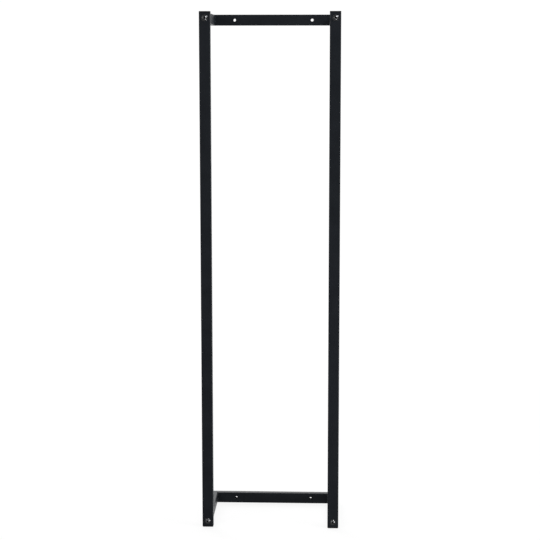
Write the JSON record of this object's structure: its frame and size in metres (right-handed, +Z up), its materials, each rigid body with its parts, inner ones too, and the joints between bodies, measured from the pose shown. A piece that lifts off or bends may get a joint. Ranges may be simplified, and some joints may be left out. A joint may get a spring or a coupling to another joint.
{
  "type": "firewood log rack",
  "caption": "Tall, slim firewood rack: upright black steel tube posts bolted to U-shaped tube brackets, whose rails are screwed to a wall; logs are stacked behind the posts.",
  "frame": {"origin": "on the floor, below the middle of the rack's box (the bolt heads count in the box's depth)", "axes": "+X to the right as seen from the front, +Y towards the wall, +Z up; the posts face -Y"},
  "size_m": [0.4, 0.2544, 1.5],
  "materials": {
    "frame_coat": "matt black powder coat with a fine texture",
    "weld_coat": "the same powder coat over a weld bead, a little glossier",
    "black_zinc": "black zinc plate, half gloss",
    "zinc_plate": "bright zinc plate",
    "cap_nylon": "moulded black nylon"
  },
  "bodies": {
    "root": {"left_post": "frame_coat", "right_post": "frame_coat", "top_wall_rail": "frame_coat", "bottom_wall_rail": "frame_coat", "top_left_arm": "frame_coat", "top_right_arm": "frame_coat", "bottom_left_arm": "frame_coat", "bottom_right_arm": "frame_coat", "top_left_corner_weld": "weld_coat", "top_right_corner_weld": "weld_coat", "bottom_left_corner_weld": "weld_coat", "bottom_right_corner_weld": "weld_coat", "top_left_end_plate": "frame_coat", "top_right_end_plate": "frame_coat", "bottom_left_end_plate": "frame_coat", "bottom_right_end_plate": "frame_coat", "top_left_weld_nut": "zinc_plate", "top_right_weld_nut": "zinc_plate", "bottom_left_weld_nut": "zinc_plate", "bottom_right_weld_nut": "zinc_plate", "top_left_bolt": "black_zinc", "top_right_bolt": "black_zinc", "bottom_left_bolt": "black_zinc", "bottom_right_bolt": "black_zinc", "left_top_cap": "cap_nylon", "right_top_cap": "cap_nylon", "left_foot_cap": "cap_nylon", "right_foot_cap": "cap_nylon"}
  },
  "joints": []
}
